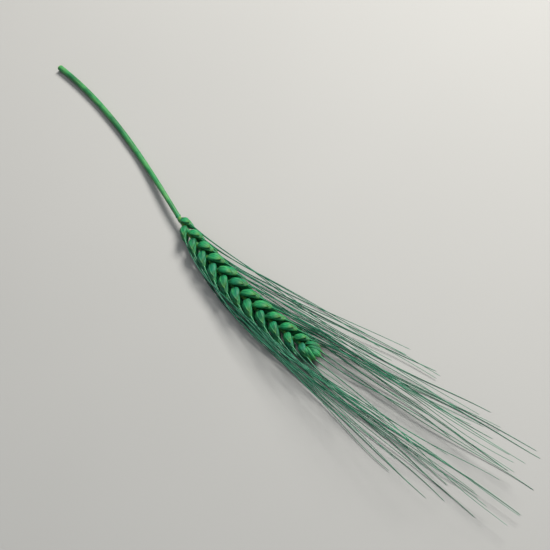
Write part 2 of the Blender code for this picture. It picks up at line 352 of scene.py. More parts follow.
class Recipe:
    """One material, its nodes added as they are called for."""

    def __init__(self, name):
        self.material = bpy.data.materials.new(name)
        self.material.use_nodes = True
        self.tree = self.material.node_tree
        self.shader = self.tree.nodes["Principled BSDF"]

    def add(self, kind, settings=None, sockets=None, output=0):
        """Adds a node: its settings, then its sockets' values or links. Gives one output."""
        node = self.tree.nodes.new(kind)
        for name, value in (settings or {}).items():
            setattr(node, name, value)
        for name, value in (sockets or {}).items():
            self.feed(node.inputs[name], value)
        return Wire(self, node.outputs[output])

    def feed(self, socket, value):
        """Links a wire to a socket, or sets the socket to a plain value."""
        if isinstance(value, Wire):
            self.tree.links.new(value.socket, socket)
        else:
            socket.default_value = value

    def attribute(self, name):
        """A number that the piece's points carry."""
        return self.add("ShaderNodeAttribute", {"attribute_name": name}, output="Fac")

    def place(self):
        """The place on the object."""
        return self.add("ShaderNodeTexCoord", output="Object")

    def cells(self, along, around, tone):
        """A place that follows a husk's length and girth, and differs from husk to husk."""
        return self.add("ShaderNodeCombineXYZ", sockets={0: along, 1: around, 2: tone})

    def noise(self, where, scale, detail=2.0, roughness=0.5):
        """Soft clouds from 0 to 1, finer with a larger scale."""
        sockets = {"Vector": where, "Scale": scale, "Detail": detail, "Roughness": roughness}
        return self.add("ShaderNodeTexNoise", sockets=sockets)

    def ease(self, value, low, high):
        """0 below low, 1 above high, eased between; the other way round where low is the higher."""
        settings = {"interpolation_type": "SMOOTHSTEP"}
        return self.add("ShaderNodeMapRange", settings, {0: value, 1: low, 2: high, 3: 0.0, 4: 1.0})

    def blend(self, share, first, second):
        """One colour turning into another."""
        ends = [end if isinstance(end, Wire) else (*end, 1) for end in (first, second)]
        settings = {"data_type": "RGBA"}
        return self.add("ShaderNodeMix", settings, {0: share, 6: ends[0], 7: ends[1]}, output=2)

    def bump(self, height, distance, strength):
        """The surface's normal over a relief: a height of 1 stands out by distance."""
        sockets = {"Height": height, "Distance": distance, "Strength": strength}
        return self.add("ShaderNodeBump", sockets=sockets, output="Normal")

    def finish(self, colour, roughness, normal=None, **constants):
        """Feeds the shader and gives the material."""
        self.feed(self.shader.inputs["Base Color"], colour)
        self.feed(self.shader.inputs["Roughness"], roughness)
        if normal:
            self.feed(self.shader.inputs["Normal"], normal)
        for name, value in constants.items():
            self.shader.inputs[name.replace("_", " ")].default_value = value
        return self.material


def husk_finish(colours):
    """Dyed husk: dye clouds, painted shade low down, thin on nerves and margins, olive at both ends,
    fibred.
    """
    recipe = Recipe("dyed husk")
    along, around, tone, nerve = map(recipe.attribute, ("along", "around", "tone", "nerve"))
    clouds = recipe.noise(recipe.place(), scale=330.0, detail=3.0)
    cells = recipe.cells(along * 3.0, around * 9.0, tone * 31.0)
    fibres = recipe.noise(cells, scale=1.6, detail=4.0, roughness=0.6)
    cells = recipe.cells(along * 1.2, around * 2.6, tone * 47.0)
    streaks = recipe.noise(cells, scale=1.3)
    # Dark dye in clouds, and painted shade over the lower half of the husk, where the spikelets
    # overlap
    deep = recipe.ease(clouds, 0.62, 0.38) * 0.6 + recipe.ease(along, 0.5, 0.1) * 0.6
    margin = recipe.ease(abs(around), 1.3, 1.75)
    thin = recipe.ease(streaks, 0.46, 0.66) * 0.6 + nerve * 0.45 + margin * 0.5
    ends = recipe.ease(along, 0.66, 1.04) * 0.75 + recipe.ease(along, 0.12, 0.02) * 0.8
    ends = ends + recipe.ease(streaks, 0.52, 0.78) * 0.4
    # The tone holds painted light: the row facing the key lamp is lighter, and the other is painted
    # bluer and darker
    colour = recipe.blend(recipe.ease(tone, 0.7, 0.2), colours.husk, colours.husk_cool_and_shade)
    colour = recipe.blend(deep, colour, colours.husk_deep_and_shade)
    # The tone also scales the pale margins, nerves and ends, so the painted lit row is paler too
    colour = recipe.blend(thin * (tone * 0.6 + 0.35), colour, colours.husk_bare)
    colour = recipe.blend(ends * (tone * 0.5 + 0.3), colour, colours.husk_ends)
    normal = recipe.bump(fibres + clouds * 0.5, 0.12 * MM, 0.9)
    return recipe.finish(colour, fibres * 0.2 + 0.36, normal, Specular_IOR_Level=0.3)


def palea_finish(colours):
    """The inner husks: thin, paler and smoother than the outer ones."""
    recipe = Recipe("dyed palea")
    along, around, tone = map(recipe.attribute, ("along", "around", "tone"))
    cells = recipe.cells(along * 2.0, around * 8.0, tone * 23.0)
    fibres = recipe.noise(cells, scale=1.8, detail=3.0)
    colour = recipe.blend(recipe.ease(fibres, 0.35, 0.75), colours.husk, colours.husk_bare)
    # Painted shade: darker towards the foot, where the lemma and the neighbours cover it
    colour = recipe.blend(recipe.ease(along, 0.6, 0.1) * 0.7, colour, colours.husk_deep_and_shade)
    normal = recipe.bump(fibres, 0.06 * MM, 0.7)
    return recipe.finish(colour, fibres * 0.15 + 0.42, normal, Specular_IOR_Level=0.36)


def awn_finish(colours):
    """Dyed awn: hard and satin, with paler stretches, a paler end and the husk's dye at its foot."""
    recipe = Recipe("dyed awn")
    along, tone = map(recipe.attribute, ("along", "tone"))
    stretches = recipe.noise(recipe.cells(along * 9.0, tone * 29.0, 0.0), scale=1.0, detail=3.0)
    pale = recipe.ease(stretches, 0.42, 0.7) * 0.55 + recipe.ease(along, 0.45, 1.0) * 0.3
    pale = pale + tone * 0.18
    colour = recipe.blend(pale, colours.awn, colours.awn_bare)
    colour = recipe.blend(recipe.ease(along, 0.09, 0.015) * 0.8, colour, colours.husk)
    grain = recipe.noise(recipe.place(), scale=2600.0)
    normal = recipe.bump(grain, 0.03 * MM, 0.5)
    return recipe.finish(colour, grain * 0.16 + 0.3, normal, Specular_IOR_Level=0.4)


def straw_finish(colours):
    """Dyed straw: long streaks, a satin skin, and bare pith at the cut."""
    recipe = Recipe("dyed straw")
    along, around, tone = map(recipe.attribute, ("along", "around", "tone"))
    cells = recipe.cells(along * 7.0, around * 3.5, 0.0)
    streaks = recipe.noise(cells, scale=1.4, detail=4.0, roughness=0.6)
    clouds = recipe.noise(recipe.place(), scale=160.0)
    pale = recipe.ease(streaks, 0.46, 0.72) * 0.6 + recipe.ease(clouds, 0.5, 0.75) * 0.2
    # Only the dark dye of this colour, in clouds over the straw
    body = recipe.blend(recipe.ease(clouds, 0.6, 0.35) * 0.5, colours.straw, colours.husk_deep_and_shade)
    colour = recipe.blend(pale, body, colours.straw_bare)
    colour = recipe.blend(tone, colour, colours.straw_bare)
    normal = recipe.bump(streaks, 0.05 * MM, 0.6)
    return recipe.finish(colour, streaks * 0.18 + 0.34, normal, Specular_IOR_Level=0.4)


def rachis_finish(colours):
    """The ear's own stem: clouds of green and olive dye over a fine grain."""
    recipe = Recipe("dyed rachis")
    place = recipe.place()
    clouds = recipe.noise(place, scale=500.0, detail=4.0)
    fine = recipe.noise(place, scale=2400.0)
    colour = recipe.blend(recipe.ease(clouds, 0.4, 0.7), colours.husk, colours.husk_ends)
    return recipe.finish(colour, clouds * 0.2 + 0.45, recipe.bump(fine, 0.05 * MM, 0.6))


def floor_finish(colours):
    """A plain matt floor."""
    recipe = Recipe("pale floor")
    clouds = recipe.noise(recipe.place(), scale=9.0)
    darker = tuple(FLOOR_DARKER * value for value in colours.floor)
    return recipe.finish(recipe.blend(clouds, colours.floor, darker), roughness=0.78)


def material(name, make):
    """The named material, made the first time that it is asked for."""
    return bpy.data.materials.get(name) or make(bpy.context.scene.ear_colours)


def spread(index, draw, amount):
    """A small difference from the mean, the same at every run."""
    return amount * (2 * random.Random(SEED + SEEDS_APART * index + draw).random() - 1)


def heading(s):
    """The way the line points at s metres past the ear's foot, seen from above."""
    if s >= 0:
        return EAR_BEND * (s / RACHIS_LENGTH - 0.5)
    return -EAR_BEND / 2 + STEM_BEND * (s / STEM_LENGTH) ** 2


def height(s):
    """The line's height: the straw lies, then rises to the ear's foot; the ear slopes down."""
    lying = STEM_RADIUS * math.cos(math.pi / STEM_SIDES)
    if s >= 0:
        return FOOT_HEIGHT + EAR_SLOPE * s
    rise = STEM_LENGTH - STEM_LIES_TO
    k = max(0.0, 1 + s / rise)
    eased = k * k * (3 - 2 * k)
    return lying + (FOOT_HEIGHT - lying) * eased + EAR_SLOPE * rise * (k**3 - k**2)


def plan_line(end):
    """The line's points as seen from above, a step apart, from the ear's foot to its end."""
    step = math.copysign(LINE_STEP, end)
    points = [Vector((0, 0))]
    for i in range(round(end / step)):
        turn = heading((i + 0.5) * step)
        points.append(points[-1] + step * Vector((math.cos(turn), math.sin(turn))))
    return points


AHEAD = plan_line(RACHIS_LENGTH + 4 * LINE_STEP)
BEHIND = plan_line(-STEM_LENGTH - 4 * LINE_STEP)


def on_line(s):
    """The point of the line at s metres past the ear's foot."""
    points = AHEAD if s >= 0 else BEHIND
    place = min(abs(s) / LINE_STEP, len(points) - 1.001)
    before = int(place)
    flat = points[before].lerp(points[before + 1], place - before)
    return Vector((flat.x, flat.y, height(s)))


def line_axes(s):
    """The line's directions forward, left and up at s."""
    forward = (on_line(s + LINE_STEP) - on_line(s - LINE_STEP)).normalized()
    left = UP.cross(forward).normalized()
    return forward, left, forward.cross(left)


def frame_shift():
    """How far the solids were moved to stand centred, found at the middle of the straw's cut."""
    forward = line_axes(-STEM_LENGTH)[0]
    corners = [vertex.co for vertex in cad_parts["stem"].data.vertices]
    nearest = min(corner.dot(forward) for corner in corners)
    cut = [corner for corner in corners if corner.dot(forward) < nearest + SAME_FACE]
    low = Vector([min(corner[axis] for corner in cut) for axis in range(3)])
    high = Vector([max(corner[axis] for corner in cut) for axis in range(3)])
    shift = (low + high) / 2 - on_line(-STEM_LENGTH)
    return Vector((shift.x, shift.y, 0))


SHIFT = frame_shift()


def husk_swell(u):
    """A husk's girth at a share of its length, 1 at its fullest."""
    belly = math.sin(math.pi * u**BELLY_LOW) ** BELLY_FULL
    return HUSK_FOOT_SHARE * (1 - u) + (1 - HUSK_FOOT_SHARE * (1 - u)) * belly


def spikelet_node(index):
    """How far along the ear a side spikelet stands, and 1 on the left side or -1 on the right."""
    return FIRST_NODE + NODE_SPACING * index, 1 if index % 2 == 0 else -1


def spikelet_size(share):
    """How large a spikelet is at a share of the ear's length."""
    return 1 - SMALLER_AT_FOOT * (1 - share) ** 5 - SMALLER_AT_TIP * share**4


def spikelet_husks(index, s, outward, lean, size):
    """The place, direction and size of each husk of a spikelet that grows at s."""
    forward = line_axes(s)[0]
    along = forward * math.cos(lean) + outward * math.sin(lean)
    side = outward * math.cos(lean) - forward * math.sin(lean)
    fan = along.cross(side).normalized()
    if fan.z < 0:
        fan = -fan
    base = on_line(s) + outward * NODE_STANDOFF * size
    husks = []
    for part, row in enumerate(SPIKELET_HUSKS):
        kind, start, tilt, shift, push, length, width, thickness, awn = row
        if kind == FLORET and tilt == 0 and size < MIDDLE_FLORET_FROM:
            continue
        number = len(SPIKELET_HUSKS) * index + part
        grown = size * (1 + spread(number, SIZE_DRAW, SIZE_SPREAD))
        turn = math.radians(tilt) + spread(number, TURN_DRAW, TURN_SPREAD)
        swing = spread(number, SWING_DRAW, TURN_SPREAD)
        direction = along * math.cos(turn) + fan * math.sin(turn)
        direction = (direction + side * math.tan(swing)).normalized()
        tilted = fan * (tilt > 0) - fan * (tilt < 0)
        back = tilted * math.cos(KEEL_TURN) + side * math.sin(KEEL_TURN) if tilt else side
        back = (back - direction * back.dot(direction)).normalized()
        foot = base + (along * start + fan * shift + side * push) * MM * size
        husks.append({
            "number": number, "kind": kind, "s": s, "outward": outward, "tilted": tilted,
            "foot": foot, "tip": foot + direction * length * MM * grown,
            "along": direction, "out": back, "awn": awn * MM, "length": length * MM * grown,
            "width": width * MM * grown, "thickness": thickness * MM * grown})
    return husks


def all_spikelets():
    """The husks of every spikelet: the side ones, then the end one, on edge to them."""
    spikelets = []
    for i in range(SPIKELETS):
        s, hand = spikelet_node(i)
        size = spikelet_size(i / (SPIKELETS - 1))
        spikelets.append(spikelet_husks(i, s, hand * line_axes(s)[1], SPIKELET_LEAN, size))
    up = line_axes(RACHIS_LENGTH)[2]
    s = RACHIS_LENGTH - END_SPIKELET_BACK
    spikelets.append(spikelet_husks(SPIKELETS, s, up, 0.0, END_SPIKELET_SIZE))
    return spikelets


def above_surface(point):
    """Lifts a point off the surface where it would come too close or go through it."""
    free = (point.z - AWN_FLOOR) / AWN_LIFT_BLEND
    eased = AWN_LIFT_BLEND * (math.log1p(math.exp(-abs(free))) + max(free, 0))
    return Vector((point.x, point.y, AWN_FLOOR + eased))


def awn_line(husk):
    """The points that a husk's awn follows: out of its tip, then straight on with the others."""
    s = husk["s"]
    forward, left, up = line_axes(s + AWN_LOOKS_AHEAD * (RACHIS_LENGTH - s))
    number = husk["number"]
    share = min(1.0, number / (len(SPIKELET_HUSKS) * SPIKELETS))
    leaving = (husk["along"] - husk["out"] * math.pi * HUSK_BOW).normalized()
    flare = AWN_FLARE[0] + (AWN_FLARE[1] - AWN_FLARE[0]) * share
    settled = forward + husk["outward"] * flare + husk["tilted"] * AWN_RISE
    settled += left * spread(number, AWN_LEFT_DRAW, AWN_SPREAD)
    settled += up * spread(number, AWN_UP_DRAW, AWN_SPREAD)
    settled.normalize()
    phase = math.pi * (1 + spread(number, AWN_PHASE_DRAW, 1))
    cycles = math.pi * (2 + spread(number, AWN_CYCLES_DRAW, 1))
    length = husk["awn"] * (1 - AWN_SHORTER_AT_ENDS * (1 - math.sin(math.pi * share)))
    length = length * (1 + spread(number, AWN_LENGTH_DRAW, AWN_LENGTH_SPREAD)) + AWN_SUNK
    start = husk["tip"] - leaving * AWN_SUNK
    points = []
    for i in range(AWN_POINTS + 1):
        u = i / AWN_POINTS
        bent = min(u, AWN_STRAIGHTENS)
        swung = bent - bent**2 / (2 * AWN_STRAIGHTENS)
        point = start + length * (leaving * swung + settled * (u - swung))
        turn = phase + cycles * u
        point += (left * math.sin(turn) + up * math.cos(turn) * WAVER_UP) * AWN_WAVER * u
        point = above_surface(point) if i else point
        points.append(point - UP * AWN_FLOOR * u**4)
    return points


def free_selection():
    """Leaves edit mode and selects nothing."""
    if bpy.context.object and bpy.context.object.mode != "OBJECT":
        bpy.ops.object.mode_set(mode="OBJECT")
    bpy.ops.object.select_all(action="DESELECT")


def pick(piece):
    """Selects one piece alone and makes it the active one."""
    free_selection()
    piece.select_set(True)
    bpy.context.view_layer.objects.active = piece


def edit(piece):
    """Opens one piece in edit mode, on its points."""
    pick(piece)
    bpy.ops.object.mode_set(mode="EDIT")
    bpy.ops.mesh.select_mode(type="VERT")


def choose(piece, test):
    """In edit mode, selects the points whose place and turn round the piece pass a test."""
    shape = bmesh.from_edit_mesh(piece.data)
    turns = shape.verts.layers.float["around"]
    for point in shape.verts:
        point.select = bool(test(point.co, point[turns]))
    shape.select_flush(True)
    bmesh.update_edit_mesh(piece.data)


def keep_value(piece, name, value):
    """Writes a number on every point of a piece, worked out from the point's place."""
    layer = piece.data.attributes.get(name) or piece.data.attributes.new(name, "FLOAT", "POINT")
    for entry, vertex in zip(layer.data, piece.data.vertices):
        entry.value = value(vertex.co)


def finish_modifiers(piece):
    """Applies all of a piece's modifiers."""
    pick(piece)
    for modifier in list(piece.modifiers):
        bpy.ops.object.modifier_apply(modifier=modifier.name)


def start_ring(name, sides, centre, half_width, half_depth):
    """A ring of points across the X axis, in edit mode, each with its turn from the top on it."""
    free_selection()
    bpy.ops.mesh.primitive_circle_add(
        vertices=sides, radius=1, fill_type="NOTHING", rotation=(0, math.pi / 2, 0))
    piece = bpy.context.object
    piece.name = name
    bpy.ops.object.transform_apply(location=False, rotation=True, scale=False)
    keep_value(piece, "nerve", lambda point: 0.0)
    keep_value(piece, "around", lambda point: math.atan2(point.y, point.z))
    edit(piece)
    bpy.ops.mesh.select_all(action="SELECT")
    bpy.ops.transform.resize(value=(1, half_width, half_depth), center_override=(0, 0, 0))
    bpy.ops.transform.translate(value=centre)
    return piece


def grow(stations):
    """Extrudes the selected ring through stations, each a centre, a half width and a half depth."""
    for before, after in zip(stations, stations[1:]):
        bpy.ops.mesh.extrude_region_move(TRANSFORM_OT_translate={"value": after[0] - before[0]})
        scale = (1, after[1] / before[1], after[2] / before[2])
        bpy.ops.transform.resize(value=scale, center_override=after[0])


def close_end(reach):
    """Draws the last ring on by a reach and closes it in a point."""
    bpy.ops.mesh.extrude_region_move(TRANSFORM_OT_translate={"value": reach})
    bpy.ops.mesh.merge(type="CENTER")


def face_outwards(piece):
    """Turns the faces of a shell or tube round the X axis outwards."""
    bpy.ops.object.mode_set(mode="OBJECT")
    mesh = piece.data
    outward = sum(face.normal.z * face.area for face in mesh.polygons if face.center.z > 0)
    edit(piece)
    if outward < 0:
        bpy.ops.mesh.select_all(action="SELECT")
        bpy.ops.mesh.flip_normals()


def raise_rows(piece, degrees, rise, run, length):
    """Raises nerves: rows of points at these turns from the top, over a run of the length."""
    turns = [math.radians(degree) for degree in degrees]
    low, high = (share * length for share in run)
    choose(piece, lambda point, around: low <= point.x <= high
           and any(abs(around - turn) < HALF_COLUMN for turn in turns))
    bpy.ops.transform.shrink_fatten(value=rise)
    shape = bmesh.from_edit_mesh(piece.data)
    nerves = shape.verts.layers.float["nerve"]
    for point in shape.verts:
        point[nerves] = max(point[nerves], float(point.select))
    bmesh.update_edit_mesh(piece.data)


def master_size(row):
    """The length, width and thickness of a row of SPIKELET_HUSKS, in metres."""
    return [value * MM for value in SPIKELET_HUSKS[row][5:8]]


def husk_stations(length, width, thickness, lift=0.0):
    """A husk's rings from its foot to near its tip."""
    stations = []
    for u in HUSK_STATIONS:
        swell = husk_swell(u)
        centre = Vector((u * length, 0, HUSK_BOW * length * math.sin(math.pi * u) + lift * u * u))
        stations.append((centre, width / 2 * swell, thickness / 2 * swell))
    return stations


def smooth_below(angle):
    """Leaves edit mode and smooths all but the edges that are sharper than an angle."""
    bpy.ops.object.mode_set(mode="OBJECT")
    bpy.ops.object.shade_smooth_by_angle(angle=angle)


def open_shell(name, stations, wraps, point):
    """A husk's shell: part of a ring, grown through stations and drawn out to a point."""
    piece = start_ring(name, HUSK_COLUMNS, *stations[0])
    choose(piece, lambda point, around: abs(around) > wraps)
    bpy.ops.mesh.delete(type="VERT")
    bpy.ops.mesh.select_all(action="SELECT")
    grow(stations)
    close_end(point)
    face_outwards(piece)
    return piece


def give_wall(piece, thickness):
    """Gives an open shell its wall, inwards, and smooths all but its rims."""
    bpy.ops.object.mode_set(mode="OBJECT")
    wall = piece.modifiers.new("wall", "SOLIDIFY")
    wall.thickness = thickness
    wall.thickness_clamp = 1
    wall.offset = -1
    finish_modifiers(piece)
    smooth_below(RIM_ANGLE)


def keep_along(piece, length):
    """Writes on every point how far along the piece it is, from 0 to about 1."""
    keep_value(piece, "along", lambda point: point.x / length)


def lemma_master(sizes, width_share):
    """A floret's outer husk: a ribbed, round-backed shell, open inside, that ends in its awn."""
    length, width, thickness = master_size(FLORET_ROW)
    stations = husk_stations(length, width * width_share, thickness * LEMMA_DEPTH)
    piece = open_shell("lemma", stations, LEMMA_WRAPS, (length * LEMMA_POINT, 0, 0))
    raise_rows(piece, LEMMA_NERVES, sizes.nerve_height, LEMMA_NERVES_RUN, length)
    raise_rows(piece, LEMMA_NERVES[:1], sizes.nerve_height, MIDDLE_NERVE_RUNS, length)
    give_wall(piece, sizes.husk_wall)
    keep_along(piece, length)
    return piece


def glume_master(sizes, hand):
    """A spikelet's outer husk: a stiff boat with a short beak, and its keel to one hand."""
    length, width, thickness = master_size(GLUME_ROW)
    stations = husk_stations(length, width, thickness, GLUME_LIFT)
    last = stations[-1][0]
    beak = Vector((length + GLUME_BEAK, 0, GLUME_LIFT + BEAK_CURL * GLUME_BEAK)) - last
    stations += [(last + beak * share, half_width * MM, half_depth * MM)
                 for share, half_width, half_depth in BEAK_RINGS]
    piece = open_shell("glume", stations, GLUME_WRAPS, beak * BEAK_POINT)
    keel = hand * GLUME_KEEL
    keel_rows = (keel - COLUMN_DEGREES, keel, keel + COLUMN_DEGREES)
    nerves = [hand * degree for degree in GLUME_NERVES]
    raise_rows(piece, nerves, sizes.nerve_height, GLUME_NERVES_RUN, length)
    raise_rows(piece, keel_rows, sizes.keel_height * KEEL_FLANK, KEEL_RUNS, length)
    raise_rows(piece, (keel,), sizes.keel_height * KEEL_EDGE, KEEL_RUNS, length)
    give_wall(piece, sizes.husk_wall * GLUME_WALL)
    keep_along(piece, length)
    return piece


def palea_master():
    """A floret's inner husk, which closes the lemma's open side: a slim closed boat inside it."""
    length, width, thickness = master_size(FLORET_ROW)
    stations = []
    for centre, half_width, half_depth in husk_stations(length, width, thickness)[1:]:
        x = PALEA_FROM * length + centre.x * PALEA_SHARE
        z = centre.z - PALEA_SINKS * thickness / 2
        stations.append((Vector((x, 0, z)), half_width * PALEA_WIDTH, half_depth * PALEA_DEPTH))
    piece = start_ring("palea", PALEA_SIDES, *stations[0])
    bpy.ops.mesh.edge_face_add()
    grow(stations)
    bpy.ops.mesh.merge(type="CENTER")
    face_outwards(piece)
    smooth_below(PALEA_ANGLE)
    keep_along(piece, length)
    return piece


def awn_tooth(sizes):
    """One small tooth, which lies along +X on an awn and points to its far end."""
    free_selection()
    bpy.ops.mesh.primitive_cone_add(
        vertices=3, radius1=TOOTH_SLIMNESS * sizes.tooth, radius2=0, depth=sizes.tooth,
        end_fill_type="TRIFAN", rotation=(0, math.pi / 2 - TOOTH_TILT, 0))
    tooth = bpy.context.object
    bpy.ops.object.transform_apply(location=False, rotation=True, scale=False)
    return tooth


def awn_master(sizes):
    """A straight awn along +X that tapers to a point, with three rows of forward teeth."""
    stations = []
    for i in range(AWN_STEPS + 1):
        u = (i / AWN_STEPS) ** AWN_STEPS_WIDEN
        flare = sizes.awn_flare * math.exp(-u * AWN_LENGTH / AWN_FOOT_FADES)
        radius = sizes.awn_foot + (sizes.awn_tip - sizes.awn_foot) * u + flare
        stations.append((Vector((u * AWN_LENGTH * (1 - AWN_POINT), 0, 0)), radius, radius))
    piece = start_ring("awn", AWN_SIDES, *stations[0])
    bpy.ops.mesh.edge_face_add()
    grow(stations)
    close_end((AWN_LENGTH * AWN_POINT, 0, 0))
    face_outwards(piece)
    bpy.ops.object.mode_set(mode="OBJECT")
    bpy.ops.object.shade_smooth()
    count = int((AWN_LENGTH - TOOTHLESS) / TOOTH_SPACING)
    narrows = (sizes.awn_foot - sizes.awn_tip) * TOOTH_SPACING / AWN_LENGTH
    rows = []
    for row in range(TOOTH_ROWS):
        tooth = awn_tooth(sizes)
        start = TEETH_FROM + TOOTH_SPACING * row / TOOTH_ROWS
        tooth.location = (start, 0, sizes.awn_foot * TOOTH_STANDS_AT)
        bpy.ops.object.transform_apply(location=True, rotation=False, scale=False)
        ranks = tooth.modifiers.new("rank", "ARRAY")
        ranks.use_relative_offset = False
        ranks.use_constant_offset = True
        ranks.constant_offset_displace = (TOOTH_SPACING, 0, -narrows)
        ranks.count = count
        finish_modifiers(tooth)
        tooth.rotation_euler.x = math.tau * row / TOOTH_ROWS
        bpy.ops.object.transform_apply(location=False, rotation=True, scale=False)
        tooth.data.attributes.new("around", "FLOAT", "POINT")
        rows.append(tooth)
    piece = join([piece, *rows], "awn")
    keep_along(piece, AWN_LENGTH)
    return piece


def copy_of(master, matrix, tone):
    """A copy with its own mesh, put in place, with its own shade."""
    copy = master.copy()
    copy.data = master.data.copy()
    bpy.context.collection.objects.link(copy)
    copy.matrix_world = matrix
    keep_value(copy, "tone", lambda point: tone)
    return copy


def join(pieces, name):
    """Joins pieces into one, with their places put into its mesh."""
    free_selection()
    for piece in pieces:
        piece.select_set(True)
    bpy.context.view_layer.objects.active = pieces[0]
    bpy.ops.object.transform_apply(location=True, rotation=True, scale=True)
    bpy.ops.object.join()
    whole = bpy.context.object
    whole.name = name
    whole.data.name = name
    return whole


def bend_along(piece, points):
    """Bends a piece that stands along +X so that it runs through the points from end to end."""
    guide = bpy.data.curves.new("guide", "CURVE")
    guide.dimensions = "3D"
    guide.twist_mode = "Z_UP"
    guide.use_stretch = True
    guide.use_deform_bounds = True
    spline = guide.splines.new("POLY")
    spline.points.add(len(points) - 1)
    for place, point in zip(spline.points, points):
        place.co = (*point, 1)
    rail = bpy.data.objects.new("guide", guide)
    bpy.context.collection.objects.link(rail)
    bend = piece.modifiers.new("bend", "CURVE")
    bend.object = rail
    finish_modifiers(piece)
    bpy.data.objects.remove(rail)
    bpy.data.curves.remove(guide)


def crease(piece, depth):
    """Pulls a piece gently out of true, as drying does, by clouds that lie in space."""
    clouds = bpy.data.textures.new("drying", "CLOUDS")
    clouds.noise_scale = CREASE_SIZE
    clouds.cloud_type = "COLOR"
    pull = piece.modifiers.new("drying", "DISPLACE")
    pull.texture = clouds
    pull.texture_coords = "GLOBAL"
    pull.direction = "RGB_TO_XYZ"
    pull.strength = depth
    pull.mid_level = 0.5
    finish_modifiers(piece)
    bpy.data.textures.remove(clouds)


def settle(piece, node):
    pick(piece)
    piece.location = SHIFT
    bpy.ops.object.transform_apply(location=True, rotation=True, scale=True)
    edit(piece)
    choose(piece, lambda point, around: point.z < LEAST_HEIGHT)
    bpy.ops.transform.resize(value=(1, 1, PRESSED_TO), center_override=(0, 0, LEAST_HEIGHT))
    bpy.ops.object.mode_set(mode="OBJECT")
    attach(piece, "root")
    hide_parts(node)


def husk_matrix(husk, row):
    """Stands a master husk in a husk's place: X to its tip, Z out of its back, at its size."""
    length, width, thickness = master_size(row)
    scales = (husk["length"] / length, husk["width"] / width, husk["thickness"] / thickness)
    axes = (husk["along"], husk["out"].cross(husk["along"]), husk["out"])
    columns = [axis * scale for axis, scale in zip(axes, scales)]
    return Matrix.Translation(husk["foot"]) @ Matrix(columns).transposed().to_4x4()


class WHEATEAR_OT_add_straw(bpy.types.Operator):
    """Adds the ribbed straw, cut off at one end, with its hollow."""

    bl_idname = "wheatear.add_straw"
    bl_label = "Add Straw"

    def execute(self, context):
        sizes = context.scene.ear_sizes
        length = STEM_LENGTH + STRAW_RUNS_IN
        bore = sizes.bore_radius
        rings = ((BORE_DEPTH, bore), (BORE_FLARES_AT, bore), (0, bore * BORE_FLARE),
                 (0, STEM_RADIUS * CUT_RADIUS))
        stations = [(Vector((x, 0, 0)), radius, radius) for x, radius in rings]
        for i in range(STRAW_STEPS + 1):
            x = CUT_BEVEL + (length - CUT_BEVEL) * (i / STRAW_STEPS) ** STRAW_STEPS_WIDEN
            k = max(0.0, 1 + (x - STEM_LENGTH) / (STEM_LENGTH - STEM_LIES_TO))
            radius = STEM_RADIUS + (STEM_NECK_RADIUS - STEM_RADIUS) * k
            stations.append((Vector((x, 0, 0)), radius, radius))
        straw = start_ring("straw", STRAW_SIDES, *stations[0])
        bpy.ops.mesh.edge_face_add()
        grow(stations)
        bpy.ops.mesh.edge_face_add()
        face_outwards(straw)
        column = math.tau / STRAW_SIDES
        choose(straw, lambda point, around: round(around / column) % 2
               and (point.y**2 + point.z**2) > (bore * BORE_WALL) ** 2)
        bpy.ops.transform.shrink_fatten(value=-sizes.rib_depth)
        choose(straw, lambda point, around: point.x < CUT_FACE
               and math.sin(3 * around) > CUT_STEP_FROM)
        bpy.ops.transform.translate(value=(CUT_STEP, 0, 0))
        smooth_below(RIM_ANGLE)
        keep_along(straw, length)
        pith = bore * PITH_RADIUS
        keep_value(straw, "tone", lambda point: float(
            point.x < PITH_DEPTH or point.yz.length < pith))
        count = round(length / STRAW_GUIDE_STEP)
        bend_along(straw, [on_line(-STEM_LENGTH + length * i / count) for i in range(count + 1)])
        straw.data.materials.append(material("dyed straw", straw_finish))
        settle(straw, "stem")
        return {"FINISHED"}


